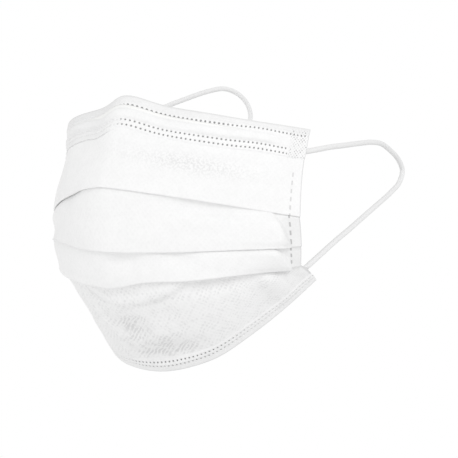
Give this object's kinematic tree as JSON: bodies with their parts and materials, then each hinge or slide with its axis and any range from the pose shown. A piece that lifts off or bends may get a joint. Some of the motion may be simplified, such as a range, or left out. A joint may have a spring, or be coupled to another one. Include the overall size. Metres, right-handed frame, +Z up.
{
  "type": "surgical face mask",
  "caption": "Pleated surgical face mask in its worn shape, with a wired nose strip, a folded bottom hem and elastic ear loops.",
  "frame": {"origin": "on the inside of the top edge, where the mask sits on the bridge of the nose", "axes": "+Z up, the wearer faces -Y, +X to the wearer's left"},
  "size_m": [0.1398, 0.1654, 0.1358],
  "materials": {
    "cloth": "matt white spunbond non-woven cloth with a fine embossed point pattern",
    "binding": "matt white non-woven cloth folded over the edge, with pressed weld dots",
    "wire": "white plastic coating over a flat steel core",
    "elastic": "soft round knitted white elastic"
  },
  "bodies": {
    "root": {"mask_body": "cloth", "top_binding": "binding", "bottom_binding": "binding", "nose_wire": "wire", "ear_loop_left": "elastic", "ear_loop_right": "elastic"}
  },
  "joints": []
}
